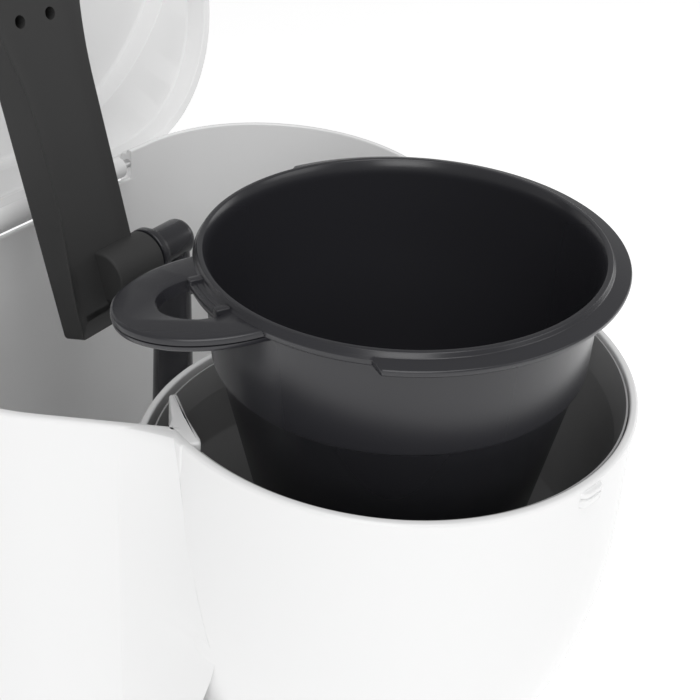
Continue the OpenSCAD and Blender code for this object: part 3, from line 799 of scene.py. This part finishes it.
def make_liner():
    """Black liner with its low part along the partition and a gap for the stub of wall. Its grey finish is painted
    light: black plastic lightened to stand in for light inside the bowl.
    """
    low_from, gap_from, gap_to = PARTITION_FROM - 1, 139, 167

    def at(angle):
        if low_from < angle < gap_from:
            return liner_section(PARTITION_DROP + 0.6)
        if gap_from <= angle < gap_to:
            return liner_section(47.0)
        return liner_section(1.0)
    liner = object_of("bowl_lining", [lathe_stops(at, stops(240, [low_from, gap_from, gap_to]))])
    # Painted light: the liner's grey finish is lightened black plastic, in place of light inside the bowl.
    return fit(liner, "machine", "black_plastic", "bowl_liner", finish="liner")


# ---------------------------------------------------------------- lid

def opened(centre, angle):
    """Turns the closed layout to the open one, about an axis along X."""
    place = Matrix.Translation(centre)
    return place @ Matrix.Rotation(-math.radians(angle), 4, "X") @ place.inverted()


def lid_rings():
    """Rings of the closed lid from the middle of its inner side round its edge to the middle of its top.

    Each run is an outline with its (height above the rim, inset) steps.
    """
    edge, crown = LID_EDGE_H, LID_H
    inner_middle = [(crown - WALL, 1.9), (crown - WALL, 1.4), (crown - 2.8, 0.4), (crown - 3.6, 0.0),
                    (edge - 1.5, -0.1), (edge - 2.1, -0.35), (edge - WALL, -0.9)]
    shelf_and_skirt = [(edge - WALL, 5.0), (edge - 2.8, 4.2), (edge - 3.8, 4.0), (1.1, 3.6), (0.6, 3.3),
                       (0.4, 2.9), (0.4, 0.7), (0.6, 0.2), (1.2, 0.0), (edge - 3.4, 0.0),
                       (edge - 1.8, 0.4), (edge - 0.7, 1.3), (edge - 0.1, 2.6), (edge, 4.2)]
    outer_middle = [(edge, -3.6), (edge + 0.3, -2.7), (edge + 1.0, -2.3), (crown - 2.4, -2.2),
                    (crown - 1.0, -1.7), (crown - 0.3, -0.8), (crown, 0.8), (crown, 1.6)]
    runs = [(step_outline, inner_middle), (lid_outline, shelf_and_skirt), (step_outline, outer_middle)]
    return [[(x, y, RIM_Z + z) for x, y in outline(inset)] for outline, steps in runs for z, inset in steps]


def make_lid():
    """Lid with a skirt, a shelf inside it, a deeper middle, two small bosses and its knuckle."""
    half = NOTCH_HALF - 4.2
    knuckle = x_rod(KNUCKLE_R, TANK_MID_X - half, TANK_MID_X + half, HINGE.y, HINGE.z, 0.8)
    tongue = rounded([(-half, -3.2, 0.5), (half, -3.2, 0.5), (half, 0.4, 0.4), (-half, 0.4, 0.4)])
    tongue = [(TANK_MID_X + x, HINGE.y + y) for x, y in tongue]
    shells = [skin(lid_rings()), knuckle, plate(tongue, [(HINGE.z - 0.5, 0), (RIM_Z + 6, 0)])]
    for side in (-1, 1):
        boss = lathe(rounded([(0, 0, 0), (2.0, 0, 0.5), (2.2, 5, 0), (0, 5, 0)]), 32)
        shells.append(moved(boss, Matrix.Translation((TANK_MID_X + side * 28.5, 129.5, RIM_Z + 4.2))))
    turn = opened(HINGE, LID_SWING)
    lid = object_of("lid_panel", [moved(shell, turn) for shell in shells])
    return fit(lid, "lid", "white_plastic", "lid")


# ---------------------------------------------------------------- spray arm and riser

def smoothstep(value, start, end):
    share = min(1.0, max(0.0, (value - start) / (end - start)))
    return share * share * (3 - 2 * share)


def arm_width(along):
    """Half width of the arm at a distance from its pivot, flaring into the round outlet."""
    flare = min(1.0, max(0.0, (along - FLARE_FROM) / (ARM_JOIN - FLARE_FROM)))
    return ARM_HALF + (ARM_NECK - ARM_HALF) * flare ** 2


def waist(along):
    """How far the left edge of the arm's underside stands in from its outline."""
    return 0.6 + 3.2 * smoothstep(along, -12, 30) * smoothstep(-along, -84, -52)


def arm_outline(front=0.0):
    """Anticlockwise outline with the pivot at the origin and the length along +Y.

    A front of 1 gives the edge of the underside, whose left side is waisted.
    """
    heights = [*range(-8, FLARE_FROM, 4), *range(FLARE_FROM + 2, 86, 4), ARM_JOIN]
    right = [(arm_width(y), y) for y in heights]
    start = math.atan2(ARM_JOIN - ARM_REACH, ARM_NECK)
    arc = [(SHOWER_R * math.cos(a), ARM_REACH + SHOWER_R * math.sin(a))
           for a in (start + (math.pi - 2 * start) * k / 60 for k in range(1, 60))]
    left = [(-x + front * waist(y), y) for x, y in right[::-1]]
    left_x = -ARM_HALF + 0.6 * front
    tail = rounded([(left_x, 10, 0), (left_x, -ARM_TAIL, 1.2), (ARM_HALF, -ARM_TAIL, 1.6), (ARM_HALF, 10, 0)])
    return tail[1:-1] + right + arc + left


def on_arm():
    flip = Matrix.Translation((0, PIVOT.y, PIVOT.z)) @ Matrix.Scale(-1, 4, (0, 1, 0))
    return opened(PIVOT, ARM_SWING) @ flip


def arm_shell():
    """Arm with leaning sides, a thin lip along the underside and a dished border inside it.

    The lists hold (height, inset) steps: from the middle of the underside to its edge, and on over the back.
    """
    underside = [(0.9, 6.5), (0.9, 4.6), (0.75, 3.2), (0.3, 1.7), (-0.15, 0.85), (-0.42, 0.62), (-0.5, 0.42),
                 (-0.42, 0.2), (-0.2, 0.05), (0.1, 0.0)]
    back = [(ARM_T - 1.2, 0.0), (ARM_T - 0.35, 0.35), (ARM_T, 1.2), (ARM_T, 6.5)]
    rings = []
    for outline, steps in ((arm_outline(1.0), underside), (arm_outline(), back)):
        rings += [[(x, y, z) for x, y in inset_outline(outline, inset)] for z, inset in steps]
    return skin(rings)


def make_arm():
    arm = object_of("arm_body", [moved(arm_shell(), on_arm())])
    barrel = x_rod(PIVOT_R, -0.6, 19.7, 0, 0, 0.9, 128)
    combine(arm, object_of("barrel", [moved(barrel, on_arm())]), "UNION")
    for x, y, r in outlet_spots():
        edge = rounded([(0, -2, 0), (r + 0.5, -2, 0), (r + 0.5, 0.55, 0), (r, 0.95, 0), (r, 5, 0), (0, 5, 0)])
        cut(arm, moved(lathe(edge, 40), on_arm() @ Matrix.Translation((x, y, 0))))
    return fit(arm, "spray_arm", "black_satin", "spray_arm", "arm_cover")


def outlet_spots():
    """Outlet holes as (x, y, radius): a ring and one in its middle."""
    spots = [(0.0, SPRAY_RING_Y, 1.8)]
    for k in range(8):
        a = math.radians(45 * k + 22.5)
        spots.append((SPRAY_RING_R * math.cos(a), SPRAY_RING_Y + SPRAY_RING_R * math.sin(a), 1.9))
    return spots


def column_shell():
    """Column that widens and leans a little towards its foot, from (height, radius, lean) stations."""
    stations = [(0, 13.4, 2.0), (2.4, 13.4, 2.0), (3.2, 12.6, 2.0), (3.6, 10.8, 2.0), (4.6, 9.2, 2.0),
                (8, 8.3, 2.0), (62, 7.0, 1.2), (100, 6.2, 0.4), (105, 5.9, 0.2), (107, 5.0, 0.2),
                (108, 3.6, 0.2)]
    rings = []
    for height, radius, lean in stations:
        circle = circle_points(COLUMN.x + lean, COLUMN.y, radius, 96)
        rings.append([(x, y, TANK_FLOOR_Z + height) for x, y in circle])
    return skin(rings)


def make_riser():
    """Column with a foot, a round neck at its head and the collar that the arm turns against."""
    riser = object_of("riser_pipe", [column_shell()])
    neck = x_rod(6.4, 22.0, 39.4, PIVOT.y, PIVOT.z, 4.2, 128)
    collar = x_rod(PIVOT_R + 0.1, 20.2, 22.8, PIVOT.y, PIVOT.z, 0.5, 128)
    shoulder = x_rod(PIVOT_R - 0.5, 20.3, 23.8, PIVOT.y, PIVOT.z, 0.4, 128)
    for part in (neck, collar, shoulder):
        combine(riser, object_of("part", [part]), "UNION")
    return fit(riser, "machine", "black_plastic", "riser_column")


# ---------------------------------------------------------------- filter basket

def on_basket():
    """Places geometry drawn about Z with its rim plane at z = 0."""
    tilt = Vector((0, 0, 1)).rotation_difference(BASKET_UP).to_matrix().to_4x4()
    return Matrix.Translation(BASKET_TOP) @ tilt


def basket_rim(angle):
    """Outer radius of the rim: a wide flange on one side, and a narrow bead on the other."""
    angle = (angle + 180) % 360 - 180
    rise = smoothstep(-angle, -FLANGE_TO, FLANGE_TO_RUN - FLANGE_TO)
    fall = min(1.0, max(0.0, (angle - FLANGE_FROM) / FLANGE_FROM_RUN))
    return BEAD_R + (FLANGE_R - BEAD_R) * min(rise, fall)


def basket_section(angle):
    edge = basket_rim(angle)
    floor = BASKET_FLOOR - BASKET_H
    outside = [(0, -BASKET_H, 0), (40, -BASKET_H, 4), (49.4, -BAND_H - 1.2, 0.6), (50.9, -BAND_H, 0.6),
               (51.9, -3.6, 0.5), (edge - 0.4, -3.1, 0.5), (edge, -1.3, 0.5)]
    lip = [(MOUTH_R + 2.0, -0.7, 0.5), (MOUTH_R + 1.4, 0.55, 0.5), (MOUTH_R + 0.1, 0.6, 0.6)]
    inside = spline([(MOUTH_R - 1.1, -1.6), (MOUTH_R - 1.9, -12), (MOUTH_R - 3.4, -28), (46.2, -42),
                     (42.6, -58), (38.6, -72)], 4)
    inside = [(x, y, 0) for x, y in inside]
    return rounded(outside + lip + inside + [(37.4, floor, 3), (0, floor, 0)], 4)


def ellipse_arc(centre, along, across, steps):
    """Half ellipse that bulges along +X, from -Y round to +Y."""
    return [(centre + along * math.cos(a), across * math.sin(a))
            for a in (math.pi * (k / steps - 0.5) for k in range(steps + 1))]


def rim_arc(half_angle, steps):
    """Points on the circle of the bar that spans the finger hole."""
    return [(BAR_R * math.cos(a), BAR_R * math.sin(a))
            for a in (half_angle * (2 * k / steps - 1) for k in range(steps + 1))]


def handle_shell():
    """Flat loop that springs from the rim, with a groove round its edge."""
    outline = ellipse_arc(HANDLE_ROOT, HANDLE_REACH - HANDLE_ROOT, 20.5, 64) + [(46, 21), (46, -21)]
    levels = [(-4.8, 1.0), (-4.6, 0.5), (-4.2, 0.25), (-3.3, 0.15), (-3.15, 0.6), (-2.95, 0.6), (-2.8, 0.0),
              (-2.2, 0.0), (-1.6, 0.15), (-1.3, 0.5), (-1.2, 1.1)]
    return plate(outline, levels)


def finger_hole():
    """Cutter of the finger hole, which flares at the top and follows the rim on its inner side."""
    side = 9.4
    outline = ellipse_arc(56.6, 11.4, side, 40)
    outline += [p for p in rim_arc(0.18, 16)[::-1] if abs(p[1]) < side - 0.5]
    return plate(outline, [(-6, 0), (-1.9, 0), (-1.5, -0.15), (-1.25, -0.6), (-1.0, -1.2), (0, -1.2)])


def make_handle():
    handle = object_of("handle", [handle_shell()])
    cut(handle, finger_hole())
    cut(handle, disc(MOUTH_R + 0.4, -60, 5))
    return handle


def make_basket():
    """Basket with its rim, and a handle with two lugs and a bar at the root."""
    turn = Matrix.Rotation(math.radians(HANDLE_HEADING), 4, "Z")
    handle = make_handle()
    place = on_basket() @ turn
    place.translation *= MM
    handle.data.transform(place)
    edges = [FLANGE_TO, FLANGE_TO - FLANGE_TO_RUN, FLANGE_FROM % 360, (FLANGE_FROM + FLANGE_FROM_RUN) % 360]
    shells = [lathe_stops(basket_section, stops(300, edges, 0.3))]
    for middle in (-LUG_SIDE, LUG_SIDE):
        low, high = middle - LUG_HALF, middle + LUG_HALF
        lug = rounded([(53.2, low, 0.4), (57.0, low, 0.4), (57.0, high, 0.4), (53.2, high, 0.4)], 3)
        shells.append(moved(plate(lug, edge_levels(-4, -0.3, 0, 0.4)), turn))
    bar = [(x, y, -2.2) for x, y in rim_arc(0.16, 8)]
    shells.append(moved(tube(bar, 1.1, 20), turn))
    basket = object_of("basket_body", [moved(shell, on_basket()) for shell in shells])
    absorb(basket, handle)
    return fit(basket, "basket", "black_plastic", "filter_basket")


# ---------------------------------------------------------------- base, plate and carafe

def make_base():
    outline = joined_outline(tank_outline(), circle_points(0, 0, 72), (5, 45), 5, 300)
    levels = [(BASE_TOP - WALL, WALL), (4.0, WALL), (4.0, 0.6), (4.6, 0.0)]
    levels += edge_levels(5.0, BASE_TOP, 0, 2.4)
    base = object_of("base_tray", [plate(outline, levels)])
    cut(base, disc(57.5, 20, 40))
    return fit(base, "machine", "white_plastic", "base_shell")


def make_plate():
    """Pressed plate with a raised edge and shallow rings."""
    face, under, rim_low = PLATE_TOP - 0.5, PLATE_TOP - 1.2, PLATE_TOP - 4.2
    ring, edge = PLATE_TOP - 0.8, PLATE_TOP - 0.05
    top = [(0, face, 0), (14, face, 0.6), (15, ring, 0.6), (16, face, 0.6), (30, face, 0.6), (31, ring, 0.6),
           (32, face, 0.6), (45, face, 0.6), (47, edge, 0.6), (52, edge, 0.6), (54.2, PLATE_TOP - 0.3, 0.6)]
    rim = [(54.9, PLATE_TOP - 1.1, 0.3), (53.0, under, 0.2), (53.0, rim_low, 0.2), (51.8, rim_low, 0.2),
           (51.8, under, 0.2), (0, under, 0)]
    hot_plate = object_of("hot_plate", [lathe(rounded(top + rim, 3))])
    return fit(hot_plate, "machine", "plate_coating", "warming_plate")


def make_carafe():
    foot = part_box("carafe_glass")[0].z / MM
    knots = [(0, 0.2), (30, 0.2), (47, 0.6), (54.5, 6), (58.5, 20), (60, 40), (58.6, 58), (54.4, 74),
             (48, 88), (42.6, 100), (41, 108), (41, 118.5)]
    curve = [(max(0.0, p.x), foot + p.y) for p in spline(knots, 6)]
    glass = object_of("carafe_jug", [lathe(thickened(curve, -GLASS_T), 160)])
    fit(glass, "carafe", "glass", "carafe_glass")
    make_carafe_band()
    make_carafe_handle()
    make_carafe_lid()


def make_carafe_band():
    """Band round the neck, with the block that its screw and the handle go into."""
    outer = NECK_R + 1.5
    ring = lathe(rounded([(NECK_R, BAND_LOW, 0.4), (outer, BAND_LOW, 0.6), (outer, BAND_TOP, 0.6),
                          (NECK_R, BAND_TOP, 0.4)]), 160)
    block = rounded([(-7, -47, 1.2), (7, -47, 1.2), (7, -41.6, 0), (-7, -41.6, 0)])
    band = object_of("neck_band", [ring, plate(block, edge_levels(BAND_LOW, BAND_TOP, 0.6, 0.6))])
    fit(band, "carafe", "black_plastic", "carafe_band")


def make_carafe_handle():
    knots = [(-47.5, 143.2), (-60, 144.6), (-78, 144.4), (-91, 139.6), (-97.6, 128), (-98.6, 112),
             (-97.6, 92), (-94.6, 74), (-87, 61.5), (-76, 56.4), (-69, 57.2)]
    path = [(0, y, z) for y, z in spline(knots, 8)]

    def section(share):
        out = 5.6 - 1.4 * abs(2 * share - 1) ** 2
        side = 8.3 - 1.2 * abs(2 * share - 1)
        return rounded([(-side, -out, 3.6), (side, -out, 3.6), (side, out, 2.4), (-side, out, 2.4)], 6)
    handle = object_of("jug_handle", [swept(path, section, (1, 0, 0))])
    fit(handle, "carafe", "black_plastic", "carafe_handle")


def make_carafe_lid():
    """Lid with a skirt in the neck, a stepped dome and a thumb tab."""
    profile = [(6, 150.6, 0.3), (36.3, 150.6, 0), (36.3, 140.2, 0.3), (38.3, 140.2, 0.3), (38.3, 150.3, 0),
               (42.4, 150.3, 0.8), (42.4, 154.2, 1.4), (37.5, 155.6, 1.5), (34, 160, 4), (21, 161, 1),
               (19.6, 169.2, 1.6), (8, 168.6, 1.2), (6, 164, 0.5)]
    tab = rounded([(-8, -65.6, 2.5), (8, -65.6, 2.5), (8, -36, 0), (-8, -36, 0)])
    shells = [lathe(rounded(profile), 160), plate(tab, edge_levels(153, 156.9, 0.8, 0.8))]
    fit(object_of("jug_lid", shells), "carafe", "black_plastic", "carafe_lid")


# ---------------------------------------------------------------- the design's own nodes

def dress_nodes():
    """Gives each shown node of the design its material and a small bevel on its sharp edges."""
    for name, node in frame["nodes"].items():
        node.data.materials.clear()
        node.data.materials.append(material(SLOT_OF[name]))
        if node.hide_render:
            continue
        weld = node.modifiers.new("weld", "WELD")
        weld.merge_threshold = 1e-6
        bevel = node.modifiers.new("bevel", "BEVEL")
        bevel.width = 0.35 * MM
        bevel.segments = 2
        bevel.limit_method = "ANGLE"
        bevel.angle_limit = math.radians(40)
        bevel.harden_normals = True


# ---------------------------------------------------------------- stage, light and camera

def make_stage():
    mesh = bpy.data.meshes.new("floor")
    far = 6.0
    mesh.from_pydata([(-far, -far, 0), (far, -far, 0), (far, far, 0), (-far, far, 0)], [], [(0, 1, 2, 3)])
    floor = bpy.data.objects.new("floor", mesh)
    bpy.context.scene.collection.objects.link(floor)
    made, nodes, links, surface = shader_tree("floor")
    tone = noise(nodes, links, 3, 2)
    links.new(ramp(nodes, links, tone, 0.9, 0.92), surface.inputs["Base Color"])
    surface.inputs["Roughness"].default_value = 0.9
    surface.inputs["Emission Color"].default_value = (1, 1, 1, 1)
    surface.inputs["Emission Strength"].default_value = 0.45
    mesh.materials.append(made)


def area_light(name, place, target, size, watts):
    """Soft lamp aimed at a target, in metres."""
    light = bpy.data.lights.new(name, "AREA")
    light.shape = "RECTANGLE"
    light.size, light.size_y = size
    light.energy = watts
    lamp = bpy.data.objects.new(name, light)
    lamp.location = place
    lamp.rotation_mode = "QUATERNION"
    lamp.rotation_quaternion = (Vector(target) - Vector(place)).to_track_quat("-Z", "Y")
    bpy.context.scene.collection.objects.link(lamp)


def make_lights():
    world = bpy.data.worlds.new("studio")
    world.use_nodes = True
    sky = world.node_tree.nodes["Background"]
    sky.inputs["Color"].default_value = (1, 1, 1, 1)
    sky.inputs["Strength"].default_value = 0.38
    bpy.context.scene.world = world
    area_light("key", (-1.9, -1.1, 1.6), (0, 0, 0.25), (1.2, 1.2), 14.5)
    area_light("front", (0.5, -1.9, 1.7), (0, 0, 0.3), (1.4, 1.0), 7)
    area_light("top", (-0.5, -0.4, 2.1), (0, 0, 0.3), (1.2, 1.2), 13)
    area_light("right", (1.8, -0.6, 0.7), (0, 0, 0.25), (0.8, 0.8), 3)


def make_camera():
    camera = bpy.data.cameras.new("camera")
    camera.lens = CAMERA_LENS
    camera.clip_start = 0.01
    shot = bpy.data.objects.new("camera", camera)
    right = CAMERA_FORWARD.cross(CAMERA_UP).normalized()
    turn = Matrix((right, right.cross(CAMERA_FORWARD), -CAMERA_FORWARD)).transposed()
    shot.matrix_world = Matrix.Translation(CAMERA_AT) @ turn.to_4x4()
    bpy.context.scene.collection.objects.link(shot)
    bpy.context.scene.camera = shot


make_camera()
make_housing()
make_liner()
make_lid()
make_arm()
make_riser()
make_basket()
make_base()
make_plate()
make_carafe()
dress_nodes()
make_stage()
make_lights()
bpy.context.scene.view_settings.view_transform = "Standard"
